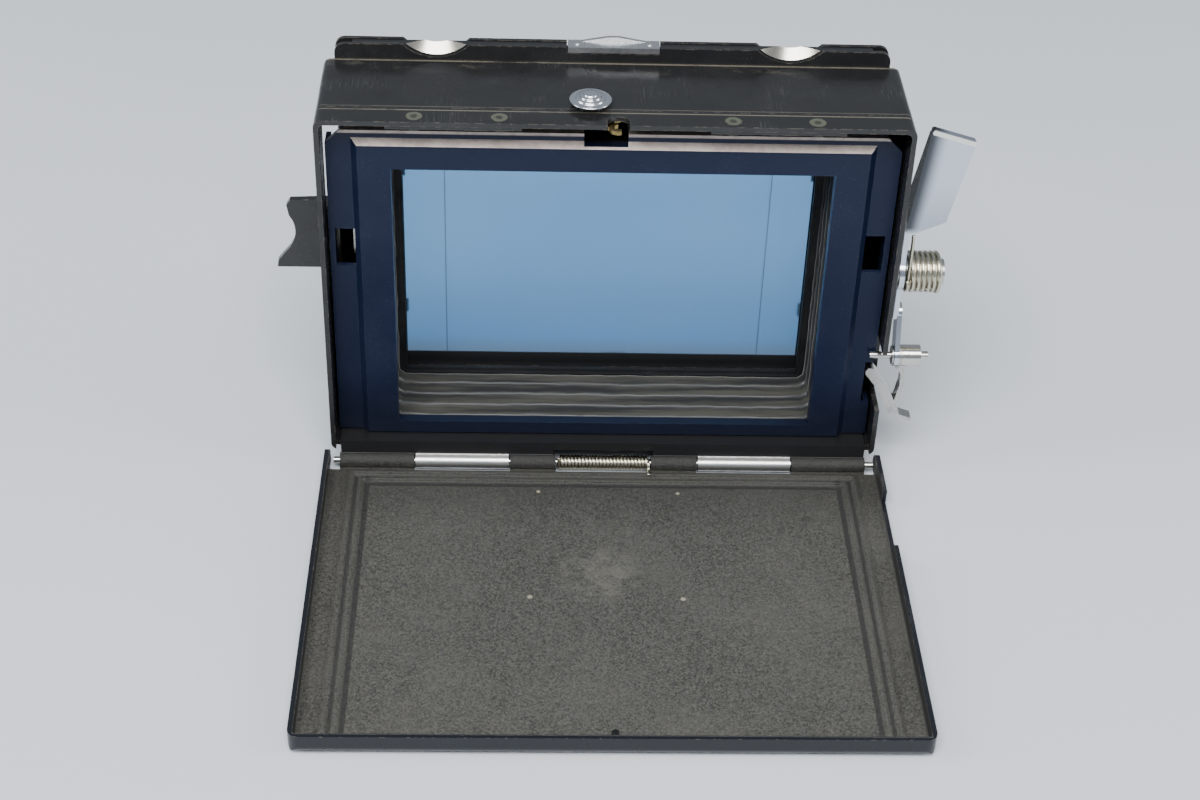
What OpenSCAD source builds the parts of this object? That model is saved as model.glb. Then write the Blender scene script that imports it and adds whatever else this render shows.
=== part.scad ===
// Sheet film back for 6.5 x 9 cm film: a light-tight shell with a bellows film tunnel, a ground-glass
// frame in a front channel and a lid-like rear door on a spring hinge.
// Millimetres. X runs along the film's long side, Y from the door to the front, Z up.
// Origin: on the film's centre line, where the front mounting face meets the standing plane.

/* [Shell] */
// Outside width of the shell
shell_w = 115; // [114:0.5:116]
// Outside height of the shell
shell_h = 78.8; // [78.4:0.1:79.2]
// Height of the shell's underside above the standing plane
foot_h = 5.3; // [5.2:0.1:5.5]
// Depth of the shell from its rear seam to its front wall
box_d = 19.5; // [19:0.1:20.5]
// Depth of the rear rim behind the seam
rim_d = 5.6; // [5.5:0.05:5.7]
// Sheet thickness of the shell, the rim and the door
wall = 1; // [0.9:0.05:1]
// Outside corner radius of the shell
corner_r = 1.6; // [1.2:0.1:2]

/* [Film gate] */
// Width of the film window
gate_w = 86.8; // [85:0.2:87.4]
// Height of the film window
gate_h = 61.4; // [60:0.2:61.8]
// Height of the window's lower edge above the standing plane
gate_z = 10.1; // [10:0.1:10.6]

/* [Front channel] */
// Depth of the channel that takes the ground-glass frame
channel_d = 3.4; // [3.2:0.1:3.8]
// Width of the channel
channel_w = 110.6; // [110:0.2:112]
// Height of the channel above the standing plane
channel_h = 87.4; // [87:0.1:88]
// Half distance between the thumb notches
notch_x = 35.2; // [30:0.2:38]

/* [Door] */
// Length of the door's side walls above the standing plane
door_flange = 4.65; // [4.2:0.05:4.7]
// Diameter of the hinge barrel
barrel_d = 3.3; // [3.1:0.1:3.4]
// Diameter of the hinge pin
pin_d = 1.5; // [1.4:0.05:1.5]
// Clearance between the closed door and the shell
door_gap = 0.15; // [0.12:0.01:0.2]

/* [Lever and latch] */
// Outside diameter of the lever's coil spring
coil_d = 8.7; // [8:0.1:9]
// Wire of the lever's coil spring
coil_wire = 1.3; // [1.1:0.05:1.3]
// Travel of the latch button
button_travel = 0.8; // [0.5:0.05:0.8]
// Travel of the pull tab in the left wall
slide_travel = 10; // [6:1:12]

/* [Hidden] */
$fn = 48;

// Main planes
half_w = shell_w / 2;
front_y = -channel_d;
seam_y = front_y - box_d;
rim_y = seam_y - rim_d;
shell_top = foot_h + shell_h;
floor_z = foot_h + wall;
ceiling_z = shell_top - wall;
inner_w = half_w - wall;

// Film frame: a pressed plate with a raised plateau round the window
frame_half_w = inner_w - 0.5;
frame_bottom = floor_z + 1;
frame_top = 79.4;
frame_chamfer = 3;
band_y = seam_y - 0.6;
band_t = 1;
plateau_y = band_y - 1.2;
plateau_half_w = 49.8;
plateau_top = 76.6;
flange_d = 3.6;
weld_r = 1.6;
gate_top = gate_z + gate_h;

// Light path between the film frame and the front wall
tunnel_half_w = 42.6;
tunnel_z = [10.2, 71];
bellows_in = 0.5;
bellows_wall = 3;
bellows_y = [band_y + band_t + 0.9, seam_y + 16.6];
ring_t = 0.8;

// Hinge
hinge_y = seam_y - 4.9;
hinge_z = 1.95;
barrel_r = barrel_d / 2;
bore_r = pin_d / 2 + 0.03;
knuckle_gap = 0.15;
door_knuckles = [[-56, -40], [-20, -10], [10, 20], [40, 56]];
leaf_knuckles = [[-40, -20], [20, 40]];
leaf_t = 0.7;
leaf_y = seam_y - 4.75;
leaf_z = floor_z + 0.03;
leaf_half_w = 55.6;
spring_gap = 10.7;

// Door, lying open: its panel's outside face is on the standing plane
door_half_w = half_w + 0.55 + wall;
door_len = shell_top - hinge_z + door_gap + wall;
door_y = hinge_y - door_len;
ear_len = 1.9;
ridge_h = 0.4;
ridge_w = 1.1;
ridge_half_w = 53.3;
ridge_y = [door_y + 3, hinge_y - 3.3];
ridge_step = 2.2;
claw_gap_y = [hinge_y - 29.2, hinge_y - 12];

// Door catch: a stud in the door's front wall, a notch in the rim and a hook under the top wall
catch_x = 0.35;
catch_y = seam_y - 3.9;
stud_r = 0.75;
hook_z = [ceiling_z - 1.1, ceiling_z - 0.3];
hook_pivot = [-0.6, seam_y + 8];
button_pos = [-4.9, seam_y + 2.1];
stem_r = 1.5;
stem_tip_r = 0.7;
spring_rivet_x = -14;

// Side lever on the right wall
lever_pivot = [seam_y + 2, 47.2];
drive_pos = [seam_y - 1.6, 28.7];
arm_x = [half_w + 1.2, half_w + 2.2];
lower_arm_x = [half_w + 2, half_w + 3];
lever_bore = 1.65;
coil_x = [half_w + 2.3, half_w + 9.8];
wall_notch_z = [17, 31.5];

// Slide in the left wall
slide_slot_y = [seam_y + 7, seam_y + 16];
tab_y = [seam_y + 9.3, seam_y + 10.7];
tab_z = [41.4, 57.8];
slide_slot_z = [tab_z[0] - 1.4, tab_z[1] + slide_travel + 2];
// Opening in the shell's upper left front edge, left of the channel
corner_gap_x = -54.9;
corner_gap_y = [seam_y + 1.5, front_y + 1];
corner_gap_z = [60, 81.5];

// Ground-glass frame
glass_frame_half_w = 51.8;
glass_frame_y = [-2.5, -0.9];
glass_frame_z = [5.6, 87.2];
catch_half_w = 9.1;
catch_z = 86.2;
glass_half_w = 43.6;
glass_z = [11.4, 71.9];
lip_t = 0.8;

// ---- Shapes that repeat ----

module block(x, y, z) {
  translate([x[0], y[0], z[0]]) cube([x[1] - x[0], y[1] - y[0], z[1] - z[0]]);
}

module rod_x(r, x, y, z) {
  translate([x[0], y, z]) rotate([0, 90, 0]) cylinder(r = r, h = x[1] - x[0]);
}

module rod_y(r, x, y, z) {
  translate([x, y[0], z]) rotate([-90, 0, 0]) cylinder(r = r, h = y[1] - y[0]);
}

module rod_z(r, x, y, z) {
  translate([x, y, z[0]]) cylinder(r = r, h = z[1] - z[0]);
}

// An outline drawn in X and Z, extruded along Y
module slab_y(y) {
  translate([0, y[1], 0]) rotate([90, 0, 0]) linear_extrude(y[1] - y[0]) children();
}

// An outline drawn in Y and Z, extruded along X
module slab_x(x) {
  translate([x[0], 0, 0]) rotate([90, 0, 90]) linear_extrude(x[1] - x[0]) children();
}

module slab_z(z) {
  translate([0, 0, z[0]]) linear_extrude(z[1] - z[0]) children();
}

module rect(x, y) {
  translate([x[0], y[0]]) square([x[1] - x[0], y[1] - y[0]]);
}

module round_rect(x, y, r) {
  rect([x[0] + r, x[1] - r], y);
  rect(x, [y[0] + r, y[1] - r]);
  for (cx = [x[0] + r, x[1] - r], cy = [y[0] + r, y[1] - r]) translate([cx, cy]) circle(r);
}

// A bent strip along a list of points, seen edge-on
module strip(points, t) {
  knuckle_d = t + 0.06;
  for (i = [1 : len(points) - 1]) {
    a = points[i - 1];
    b = points[i];
    translate(a) rotate(atan2(b[1] - a[1], b[0] - a[0])) translate([0, -t / 2]) square([norm(b - a), t]);
  }
  for (p = points) translate(p) circle(d = knuckle_d, $fn = 24);
}

// A close-wound coil along X as one turned solid
module coil(x, y, z, coil_r, wire_r, turns) {
  pitch = (x[1] - x[0] - 2 * wire_r) / (turns - 1);
  translate([x[0], y, z]) rotate([0, 90, 0]) rotate_extrude() {
    rect([coil_r - 2 * wire_r, coil_r - wire_r], [wire_r, x[1] - x[0] - wire_r]);
    for (i = [0 : turns - 1]) translate([coil_r - wire_r, wire_r + i * pitch]) circle(wire_r, $fn = 24);
  }
}

module mirror_x() {
  children();
  mirror([1, 0, 0]) children();
}

module rivet_z(x, y, z, r, head_r, heads) {
  rod_z(r, x, y, z);
  rod_z(head_r, x, y, [z[0], z[0] + heads[0]]);
  rod_z(head_r, x, y, [z[1] - heads[1], z[1]]);
}

// ---- Shell ----

module right_wall_notch() {
  block([inner_w - 1, half_w + 1], [rim_y - 1, seam_y + 3], wall_notch_z);
}

module screw_holes(y) {
  for (x = [-53.6, 53.6], z = [14, 74]) rod_y(0.82, x, y, z);
}

module outer_shell() {
  color("#16171a") difference() {
    slab_y([seam_y, front_y]) round_rect([-half_w, half_w], [foot_h, shell_top], corner_r);
    slab_y([seam_y - 1, front_y - wall])
      round_rect([-inner_w, inner_w], [floor_z, ceiling_z], corner_r - wall / 2);
    block([-46, 46], [front_y - wall - 1, front_y + 1], [8.4, 74.6]);
    block([-half_w - 1, -inner_w + 1], slide_slot_y, slide_slot_z);
    block([-half_w - 1, corner_gap_x], corner_gap_y, corner_gap_z);
    right_wall_notch();
    rod_z(2.02, button_pos[0], button_pos[1], [ceiling_z - 1, shell_top + 1]);
    screw_holes([front_y - wall - 1, front_y + 1]);
    leaf_holes();
  }
}

module leaf_holes() {
  for (x = [-35, -25, 25, 35]) rod_z(0.82, x, seam_y + 0.6, [foot_h - 1, floor_z + 2]);
}

// Strip round the back of the shell, with two laps under the top wall
module rear_rim() {
  color("#16171a") difference() {
    union() {
      difference() {
        slab_y([rim_y, seam_y]) round_rect([-half_w, half_w], [foot_h, shell_top], corner_r);
        slab_y([rim_y - 1, seam_y + 1])
          round_rect([-inner_w, inner_w], [floor_z, ceiling_z], corner_r - wall / 2);
      }
      mirror_x() block([18, 44], [rim_y + 0.3, seam_y + 4], [ceiling_z - 0.75, ceiling_z - 0.01]);
    }
    block([-inner_w, inner_w], [rim_y - 1, seam_y - 4], [foot_h - 1, floor_z + 0.5]);
    right_wall_notch();
    rod_z(2.15, catch_x, catch_y - 0.45, [ceiling_z - 1, shell_top + 1]);
    block([catch_x - 2.15, catch_x + 2.15], [rim_y - 1, catch_y - 0.45], [ceiling_z - 1, shell_top + 1]);
    weld_points() cylinder(r = weld_r + 0.02, h = 4);
    leaf_holes();
  }
}

module weld_points() {
  for (x = [-38.5, -22.3, 22.3, 38.5]) translate([x, seam_y - 3.3, ceiling_z - 1.5]) children();
}

module weld_rivets() {
  color("#5d6350") weld_points() translate([0, 0, 0.6]) {
    cylinder(r = weld_r, h = 0.98 + wall);
    cylinder(r = weld_r + 0.5, h = 0.13);
  }
}

module front_plate() {
  color("#101114") difference() {
    slab_y([front_y - wall - 1.02, front_y - wall - 0.02])
      round_rect([-inner_w + 0.1, inner_w - 0.1], [floor_z + 0.05, ceiling_z - 0.05], 1.2);
    block([-half_w, corner_gap_x], corner_gap_y, corner_gap_z);
    block([-tunnel_half_w, tunnel_half_w], [seam_y, front_y], tunnel_z);
    screw_holes([seam_y, front_y]);
  }
}

// Nickel angles on the front plate that the film frame slides along
module guide_clips() {
  color("#c9c6bd") mirror_x() {
    block([50.9, 51.6], [seam_y + 3, front_y - wall - 1.02], [48.8, 56.6]);
    block([51.6, 53.6], [front_y - wall - 1.72, front_y - wall - 1.02], [48.8, 56.6]);
  }
}

// ---- Front channel ----

module channel_outline() {
  difference() {
    round_rect([-channel_w / 2, channel_w / 2], [0, channel_h], 2);
    for (s = [-1, 1]) translate([s * notch_x, channel_h + 6.6]) circle(9.3, $fn = 96);
    rect([-catch_half_w - 0.2, catch_half_w + 0.2], [catch_z - 0.1, channel_h + 1]);
  }
}

module front_channel() {
  color("#141518") difference() {
    union() {
      slab_y([front_y, front_y + lip_t]) difference() {
        channel_outline();
        rect([-44.4, 44.4], [9, 73.6]);
      }
      mirror_x() block([glass_frame_half_w + 0.15, channel_w / 2], [front_y, -lip_t], [2, channel_h - 2]);
      block([-channel_w / 2 + 2, channel_w / 2 - 2], [front_y, -lip_t], [0, 5.4]);
    }
    screw_holes([front_y - 1, 1]);
  }
}

module channel_cover() {
  color("#141518") difference() {
    slab_y([-lip_t, 0]) difference() {
      channel_outline();
      rect([-46, 46], [8.6, 76]);
    }
    screw_holes([-lip_t - 1, 1]);
    for (x = [-53.6, 53.6], z = [14, 74])
      translate([x, -0.55, z]) rotate([-90, 0, 0]) cylinder(r1 = 0.8, r2 = 1.47, h = 0.67);
  }
}

module channel_screws() {
  slot_w = 0.3;
  color("#3a3a3c") for (x = [-53.6, 53.6], z = [14, 74]) difference() {
    union() {
      rod_y(0.8, x, [front_y - wall - 1.6, -0.5], z);
      translate([x, -0.53, z]) rotate([-90, 0, 0]) cylinder(r1 = 0.8, r2 = 1.3, h = 0.5);
    }
    block([x - 2, x + 2], [-0.35, 1], [z - slot_w / 2, z + slot_w / 2]);
  }
}

// ---- Bellows and its two clamping rings ----

module tunnel_ring(y, in_w, in_z, side) {
  slab_y(y) difference() {
    rect([-in_w - side, in_w + side], [in_z[0] - min(side, 1.8), in_z[1] + side]);
    rect([-in_w, in_w], in_z);
  }
}

module bellows() {
  color("#1e1f20")
    tunnel_ring(bellows_y, gate_w / 2 + bellows_in, [gate_z - 0.9, gate_top + 0.7], bellows_wall);
}

module bellows_front_ring() {
  color("#101114")
    tunnel_ring([seam_y + 16.65, seam_y + 17.45], tunnel_half_w + 0.6,
      [tunnel_z[0] - 0.6, tunnel_z[1] + 0.6], 5);
}

module bellows_rear_ring() {
  color("#101114")
    tunnel_ring([band_y + band_t, band_y + band_t + ring_t], gate_w / 2 + 0.4,
      [gate_z - 0.5, gate_top + 0.4], 5);
}

// ---- Hinge ----

module knuckle(x, outer_r) {
  difference() {
    rod_x(outer_r, [x[0] + knuckle_gap, x[1] - knuckle_gap], hinge_y, hinge_z);
    rod_x(bore_r, [x[0] - 1, x[1] + 1], hinge_y, hinge_z);
  }
}

module hinge_leaves() {
  strip_x = [-leaf_half_w, leaf_half_w];
  strip_z = leaf_z + 0.62;
  color("#b9b7b2") {
    for (x = leaf_knuckles) {
      knuckle(x, barrel_r);
      block([x[0] + knuckle_gap, x[1] - knuckle_gap], [leaf_y, leaf_y + leaf_t],
        [hinge_z + barrel_r - 0.35, strip_z - 0.3]);
    }
    // one long strip carries both knuckles and is folded in over the shell's floor
    difference() {
      block(strip_x, [leaf_y, leaf_y + leaf_t], [hinge_z + barrel_r + 0.15, strip_z]);
      block([-spring_gap, spring_gap], [leaf_y - 1, leaf_y + leaf_t + 1], [0, hinge_z + 3]);
      spring_relief();
    }
    difference() {
      block(strip_x, [leaf_y, seam_y + 2], [leaf_z, strip_z]);
      leaf_holes();
      spring_relief();
    }
  }
}

// Room for the spring's leg when the door is closed
module spring_relief() {
  block([-spring_gap, spring_gap], [leaf_y - 1, leaf_y + 0.12], [0, floor_z + 2]);
}

module leaf_rivets() {
  color("#8d8b86") for (x = [-35, -25, 25, 35])
    rivet_z(x, seam_y + 0.6, [foot_h - 0.5, leaf_z + 0.9], 0.8, 1.4, [0.48, 0.26]);
}

module hinge_pin() {
  color("#cfcdc8") rod_x(pin_d / 2, [-57.2, 57.8], hinge_y, hinge_z);
}

module hinge_spring() {
  wire_r = 0.36;
  color("#c2b994") {
    coil([-9.8, 9.8], hinge_y, hinge_z, barrel_r, wire_r, 27);
    rod_y(wire_r, 9.4, [hinge_y - 4.4, hinge_y - 1.1], wall + ridge_h + wire_r + 0.03);
    rod_z(wire_r, -9.4, hinge_y - 0.7, [hinge_z + 0.9, hinge_z + 2.2]);
  }
}

// ---- Latch ----

module button_bush() {
  color("#1a1a1c") difference() {
    union() {
      rod_z(2, button_pos[0], button_pos[1], [ceiling_z, shell_top + 0.1]);
      rod_z(2.6, button_pos[0], button_pos[1], [shell_top, shell_top + 0.3]);
    }
    rod_z(stem_r + 0.05, button_pos[0], button_pos[1], [ceiling_z - 1, shell_top + 1]);
  }
}

module button_cap() {
  rim_z = shell_top + 0.38 + button_travel;
  color("#d4d6da") translate([button_pos[0], button_pos[1], rim_z]) rotate_extrude() {
    rect([0, 4], [0, 0.36]);
    translate([3.97, 0.18]) circle(0.18, $fn = 24);
    rect([0, 2.85], [0.3, 0.72]);
    rect([0, 2.15], [0.7, 1.16]);
    rect([0, 1.2], [1.1, 1.58]);
    translate([1.2, 1.34]) circle(0.24, $fn = 24);
  }
}

module button_stem() {
  cone_z = hook_z[1];
  color("#a9abaf") translate([button_pos[0], button_pos[1], 0]) {
    translate([0, 0, hook_z[0] - 0.8]) cylinder(r = stem_tip_r, h = hook_z[1] - hook_z[0] + 0.9);
    translate([0, 0, cone_z]) cylinder(r1 = stem_tip_r, r2 = stem_r, h = stem_r - stem_tip_r);
    translate([0, 0, cone_z + stem_r - stem_tip_r])
      cylinder(r = stem_r, h = shell_top + 0.36 + button_travel - cone_z - stem_r + stem_tip_r);
  }
}

// Brass hook: a lever with a C-shaped jaw that closes round the door's stud
module latch_hook() {
  jaw_r = stud_r + 0.12;
  cone_hole = [button_pos[0] + 0.8, button_pos[1] - 0.57];
  color("#8a7a4a") slab_z(hook_z) difference() {
    union() {
      strip([hook_pivot, [-1.6, seam_y + 0.6], [catch_x - 1.3, catch_y + 0.6]], 1.6);
      translate(hook_pivot) circle(2);
      strip([cone_hole, [hook_pivot[0], cone_hole[1]]], 5);
      translate([catch_x, catch_y]) circle(1.74);
    }
    translate([catch_x, catch_y]) circle(jaw_r);
    rect([catch_x, catch_x + 3], [catch_y - 0.3, catch_y + 1.9]);
    rect([catch_x + 0.6, catch_x + 3], [catch_y - 3, catch_y + 1.9]);
    translate(hook_pivot) circle(1.05);
    translate(cone_hole) circle(1.74);
  }
}

module latch_pivot() {
  color("#77736a") {
    rod_z(1, hook_pivot[0], hook_pivot[1], [hook_z[0] - 0.5, ceiling_z]);
    rod_z(1.7, hook_pivot[0], hook_pivot[1], [hook_z[0] - 0.5, hook_z[0] - 0.03]);
    rod_z(1.7, hook_pivot[0], hook_pivot[1], [hook_z[1] + 0.03, ceiling_z]);
  }
}

module button_spring() {
  color("#b59a52") difference() {
    block([-15.5, button_pos[0] + 1.6], [button_pos[1] - 1.4, button_pos[1] + 1.4],
      [hook_z[0] - 1.25, hook_z[0] - 0.85]);
    rod_z(0.82, spring_rivet_x, button_pos[1], [hook_z[0] - 2, hook_z[0]]);
  }
}

module spring_post_rivet() {
  color("#77736a") {
    rod_z(0.8, spring_rivet_x, button_pos[1], [hook_z[0] - 1.6, ceiling_z]);
    rod_z(1.3, spring_rivet_x, button_pos[1], [hook_z[0] - 0.83, ceiling_z]);
    rod_z(1.3, spring_rivet_x, button_pos[1], [hook_z[0] - 1.6, hook_z[0] - 1.27]);
  }
}

// ---- Side lever ----

module lever_post() {
  color("#b9bbbd") {
    rod_x(3, [half_w, arm_x[0] - 0.05], lever_pivot[0], lever_pivot[1]);
    rod_x(1.6, [half_w, coil_x[1] + 0.4], lever_pivot[0], lever_pivot[1]);
    rod_x(2.7, [coil_x[1] + 0.1, coil_x[1] + 0.7], lever_pivot[0], lever_pivot[1]);
  }
}

module spring_bush() {
  color("#8f9194") difference() {
    rod_x(2.85, [arm_x[1] + 0.1, coil_x[1] + 0.05], lever_pivot[0], lever_pivot[1]);
    rod_x(1.63, [arm_x[1] - 1, coil_x[1] + 1], lever_pivot[0], lever_pivot[1]);
  }
}

module lever_spring() {
  leg_y = lever_pivot[0] - coil_d / 2 + coil_wire / 2;
  color("#d8d2c0") {
    coil(coil_x, lever_pivot[0], lever_pivot[1], coil_d / 2, coil_wire / 2, 6);
    rod_z(0.4, coil_x[0] + 0.5, leg_y + 0.2, [lever_pivot[1], 58.2]);
    rod_z(0.4, coil_x[1] - 0.6, lever_pivot[0] + coil_d / 2 - coil_wire / 2, [38, lever_pivot[1]]);
    rod_x(0.4, [half_w + 0.05, coil_x[1] - 0.6], lever_pivot[0] + coil_d / 2 - coil_wire / 2, 38);
  }
}

module side_lever() {
  tab_y0 = seam_y - 1.8;
  arm_y0 = seam_y - 0.6;
  color("#c6ccd6") difference() {
    union() {
      // upper arm and the eye round the post
      slab_x(arm_x) {
        rect([arm_y0, seam_y + 4.6], [37, 61]);
        translate(lever_pivot) circle(3.9);
      }
      // lower arm, offset outwards, down to the drive stud
      slab_x(lower_arm_x) {
        strip([[seam_y + 1.4, 37.6], drive_pos], 4);
        translate(drive_pos) circle(2.3);
      }
      block([arm_x[0], lower_arm_x[1]], [arm_y0, seam_y + 3.4], [37, 38.2]);
      // thumb tab, bent outwards at the arm's rear edge
      slab_y([tab_y0, tab_y0 + 1.2]) polygon([[arm_x[0], 58.5], [half_w + 2.9, 58.5], [half_w + 8.8, 61.3],
        [half_w + 12.5, 79.4], [half_w + 3.6, 82.2], [arm_x[0], 61]]);
      // its side flange narrows towards the top
      intersection() {
        slab_y([tab_y0, seam_y + 4.6]) polygon([[arm_x[0], 58.5], [arm_x[1], 58.5], [arm_x[1], 61],
          [half_w + 4.6, 82.2], [half_w + 3.6, 82.2], [arm_x[0], 61]]);
        slab_x([arm_x[0] - 1, arm_x[1] + 3]) polygon([[tab_y0 + 0.3, 58], [seam_y + 4.6, 58],
          [seam_y + 4.6, 60], [tab_y0 + 1.8, 81], [tab_y0 + 0.3, 81]]);
      }
      slab_y([tab_y0 - 0.5, tab_y0 + 1.2]) strip([[half_w + 4.1, 81.7], [half_w + 11.9, 79.4]], 1);
    }
    rod_x(lever_bore, [arm_x[0] - 1, arm_x[1] + 1], lever_pivot[0], lever_pivot[1]);
    rod_x(1.02, [lower_arm_x[0] - 1, lower_arm_x[1] + 1], drive_pos[0], drive_pos[1]);
  }
}

// Stepped stud through the lower arm; its inner end reaches in over the film frame's edge
module drive_stud() {
  color("#d2cfc8") {
    rod_x(0.75, [frame_half_w - 1.4, lower_arm_x[0]], drive_pos[0], drive_pos[1]);
    rod_x(1, [lower_arm_x[0] - 0.05, lower_arm_x[1] + 0.7], drive_pos[0], drive_pos[1]);
    rod_x(2.3, [lower_arm_x[1] + 0.64, half_w + 7.5], drive_pos[0], drive_pos[1]);
    rod_x(0.9, [half_w + 7.3, half_w + 9.2], drive_pos[0], drive_pos[1]);
  }
}

module stud_washer() {
  color("#bdbab3") difference() {
    rod_x(2, [half_w + 1.62, lower_arm_x[0] - 0.06], drive_pos[0], drive_pos[1]);
    rod_x(0.8, [half_w, lower_arm_x[1]], drive_pos[0], drive_pos[1]);
  }
}

// Bent strip hung on the lever's lower end that reaches through the wall's notch behind the frame
module draw_hook() {
  hook_y = [seam_y - 1.2, seam_y + 1.4];
  eye = [half_w + 3.4, 14.4];
  strip_t = 0.8;
  limb_t = 2.1;
  color("#cfcbc0") {
    slab_x([lower_arm_x[1] + 0.02, lower_arm_x[1] + 0.62]) difference() {
      union() {
        translate(drive_pos) circle(2.3);
        rect([drive_pos[0] - 0.2, drive_pos[0] + 1.9], [25.3, drive_pos[1] - 1.2]);
      }
      translate(drive_pos) circle(1.03);
    }
    slab_y(hook_y) {
      strip([[half_w + 3.36, 25.5], [half_w + 4.7, 23.6], [half_w + 4.8, 20.6], [half_w + 4.2, 17], eye,
        [half_w + 5, 12.5], [half_w + 7.5, 11.6]], strip_t);
      strip([eye, [half_w + 1.3, 19.3], [frame_half_w - 0.55, 23.7]], limb_t);
    }
    block([frame_half_w - 1.2, frame_half_w - 0.4], [hook_y[0], band_y + band_t + 1.9], [22.6, 24.8]);
    block([frame_half_w - 4.2, frame_half_w - 0.4], [band_y + band_t + 1.1, band_y + band_t + 1.9],
      [22.6, 24.8]);
  }
}

// ---- Film frame ----

module frame_outline() {
  polygon([[-frame_half_w, frame_bottom], [frame_half_w, frame_bottom],
    [frame_half_w, frame_top - frame_chamfer], [frame_half_w - frame_chamfer, frame_top],
    [-frame_half_w + frame_chamfer, frame_top], [-frame_half_w, frame_top - frame_chamfer]]);
}

module film_frame() {
  bevel = band_y - plateau_y;
  side = plateau_half_w;
  color("#1c2436") difference() {
    union() {
      slab_y([band_y, band_y + band_t]) frame_outline();
      intersection() {
        slab_z([frame_bottom, plateau_top + bevel]) polygon([[-side - bevel, band_y], [-side, plateau_y],
          [side, plateau_y], [side + bevel, band_y]]);
        slab_x([-side - bevel, side + bevel]) polygon([[band_y, frame_bottom], [plateau_y, frame_bottom],
          [plateau_y, plateau_top], [band_y, plateau_top + bevel]]);
      }
      // flanges folded towards the front along the top and the sides
      block([-frame_half_w + frame_chamfer, frame_half_w - frame_chamfer],
        [band_y, band_y + band_t + flange_d], [frame_top - 1, frame_top]);
      mirror_x() block([frame_half_w - 1, frame_half_w], [band_y, band_y + band_t + flange_d],
        [frame_bottom, frame_top - frame_chamfer]);
    }
    block([-gate_w / 2, gate_w / 2], [rim_y, seam_y + 5], [gate_z, gate_top]);
    block([-6, 2.6], [rim_y, seam_y + 8], [plateau_top + 0.4, frame_top + 1]);
    mirror_x() block([50.9, 54.9], [rim_y, seam_y + 8], [48.4, 57.1]);
    block([frame_half_w - 1.8, frame_half_w + 1], [rim_y, seam_y + 8], [15.4, 26]);
  }
}

// ---- Door ----

module door_outer(inset) {
  r = 2 - inset * 1.5;
  x = [-door_half_w + inset, door_half_w - inset];
  y = [door_y + inset, hinge_y + 8];
  intersection() {
    slab_y(y) round_rect(x, [inset, 12], r);
    slab_x(x) round_rect(y, [inset, 12], r);
    slab_z([inset, 12]) round_rect(x, [y[0], y[1] + 5], r);
  }
}

module door_panel() {
  edge_y = hinge_y - barrel_r - 0.4;
  color("#33342f") difference() {
    union() {
      difference() {
        door_outer(0);
        door_outer(wall);
        block([-90, 90], [door_y - 1, hinge_y + 20], [door_flange, 20]);
        // between the side walls the panel stops short of the barrel, and the ears run past it
        block([-door_half_w + wall, door_half_w - wall], [edge_y, hinge_y + 20], [-1, 20]);
        block([-90, 90], [hinge_y + ear_len, hinge_y + 20], [-1, 20]);
        block([door_half_w - wall - 0.5, door_half_w + 1], claw_gap_y, [wall + 0.6, 20]);
      }
      for (x = door_knuckles) {
        span = [x[0] + knuckle_gap, x[1] - knuckle_gap];
        rod_x(barrel_r, span, hinge_y, hinge_z);
        block(span, [edge_y - 0.1, hinge_y], [hinge_z - barrel_r, wall]);
      }
      ridge_frame(0);
      ridge_frame(ridge_step);
    }
    rod_x(bore_r, [-57, 57], hinge_y, hinge_z);
    // ends of the ears are rounded off
    ear_round();
  }
}

module ear_round() {
  difference() {
    block([-90, 90], [hinge_y, hinge_y + ear_len + 1], [hinge_z + 0.8, 12]);
    rod_x(door_flange - hinge_z, [-90, 90], hinge_y - 0.8, hinge_z);
  }
}

// Embossed line along both sides and the hinge end
module ridge_frame(step) {
  x = ridge_half_w - step;
  y = [ridge_y[0], ridge_y[1] - step];
  slab_z([wall - 0.1, wall + ridge_h]) difference() {
    rect([-x - ridge_w / 2, x + ridge_w / 2], [y[0], y[1] + ridge_w / 2]);
    rect([-x + ridge_w / 2, x - ridge_w / 2], [y[0] - 1, y[1] - ridge_w / 2]);
  }
}

module door_striker() {
  color("#33342f") rod_y(stud_r, catch_x, [door_y + wall, door_y + wall + 2.3], hinge_z + catch_y - hinge_y);
}

// ---- Ground-glass frame ----

module glass_clip_places() {
  for (x = [-glass_half_w - 1, glass_half_w + 1], z = [24, 58]) translate([x, 0, z]) children();
  translate([3, 0, glass_z[0] - 1]) children();
}

module clip_shape(grow) {
  block([-2.4 - grow, 2.4 + grow], [glass_frame_y[1] - 0.3, glass_frame_y[1] + grow],
    [-1.6 - grow, 1.6 + grow]);
}

module glass_frame() {
  color("#b8b6ae") difference() {
    block([-glass_frame_half_w, glass_frame_half_w], glass_frame_y, glass_frame_z);
    block([-tunnel_half_w, tunnel_half_w], [-3, 0], [12.4, 70.9]);
    block([-glass_half_w - 0.05, glass_half_w + 0.05], [glass_frame_y[0] + 0.3, 0],
      [glass_z[0] - 0.05, glass_z[1] + 0.05]);
    block([-catch_half_w - 0.3, catch_half_w + 0.3], [-4, 1], [catch_z, 100]);
    glass_clip_places() clip_shape(0.05);
    for (x = [-7.2, 7.2]) rod_z(0.52, x, -1.7, [catch_z - 2, catch_z + 1]);
    // sloping thumb scoops behind the channel's notches
    for (x = [-notch_x, notch_x]) translate([x, glass_frame_y[0] - 0.1, channel_h + 6.6])
      rotate([-90, 0, 0])
        cylinder(r1 = 9.2, r2 = 7, h = glass_frame_y[1] - glass_frame_y[0] + 0.2, $fn = 96);
  }
}

module ground_glass() {
  color("#9fbfdc")
    block([-glass_half_w, glass_half_w], [glass_frame_y[0] + 0.3, glass_frame_y[1] - 0.3], glass_z);
}

module glass_clips() {
  color("#5a5a58") glass_clip_places() clip_shape(0);
}

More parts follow.
